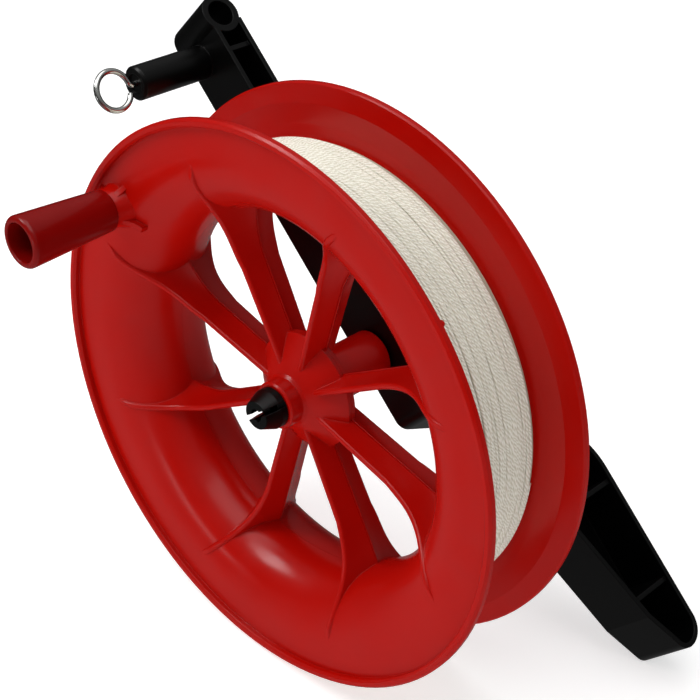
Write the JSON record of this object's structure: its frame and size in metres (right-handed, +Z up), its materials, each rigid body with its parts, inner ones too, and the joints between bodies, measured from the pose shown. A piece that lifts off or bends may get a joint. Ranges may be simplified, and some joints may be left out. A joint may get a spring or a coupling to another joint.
{
  "type": "kite line winder",
  "caption": "Hand-held winder for kite line: a flanged spool with swept spokes turned by a crank knob, on an axle in a channelled handle with a line guide eye.",
  "frame": {"origin": "middle of the bounding box, on the level of the wheel's two rims and of the grip's end", "axes": "+X across the wheel towards the grip, +Y along the axle from the crank side to the handle, +Z up"},
  "size_m": [0.23, 0.148, 0.2002],
  "materials": {
    "black_plastic": "satin moulded black",
    "black_pin": "satin moulded black",
    "red_front": "glossy moulded red",
    "red_rear": "glossy moulded red",
    "red_knob": "glossy moulded red",
    "zinc_screw": "zinc plated",
    "zinc_washer": "zinc plated",
    "zinc_eye": "bright zinc plated wire",
    "line_inner": "wound twisted line",
    "line_outer": "twisted white line"
  },
  "bodies": {
    "handle": {"handle": "black_plastic", "axle_pin": "black_pin", "line_guide_eye": "zinc_eye"},
    "wheel": {"wheel_front_half": "red_front", "wheel_rear_half": "red_rear", "line_core": "line_inner", "line_winding": "line_outer", "knob_screw": "zinc_screw", "knob_washer": "zinc_washer"},
    "knob": {"crank_knob": "red_knob"}
  },
  "joints": [
    {"name": "wheel_spin", "type": "hinge", "parent": "handle", "child": "wheel", "pos_m": [-0.00588, -0.0126, 0.1], "axis": [0, 1, 0], "continuous": true},
    {"name": "knob_spin", "type": "hinge", "parent": "wheel", "child": "knob", "pos_m": [-0.07961, -0.0526, 0.1458], "axis": [0, 1, 0], "continuous": true}
  ]
}
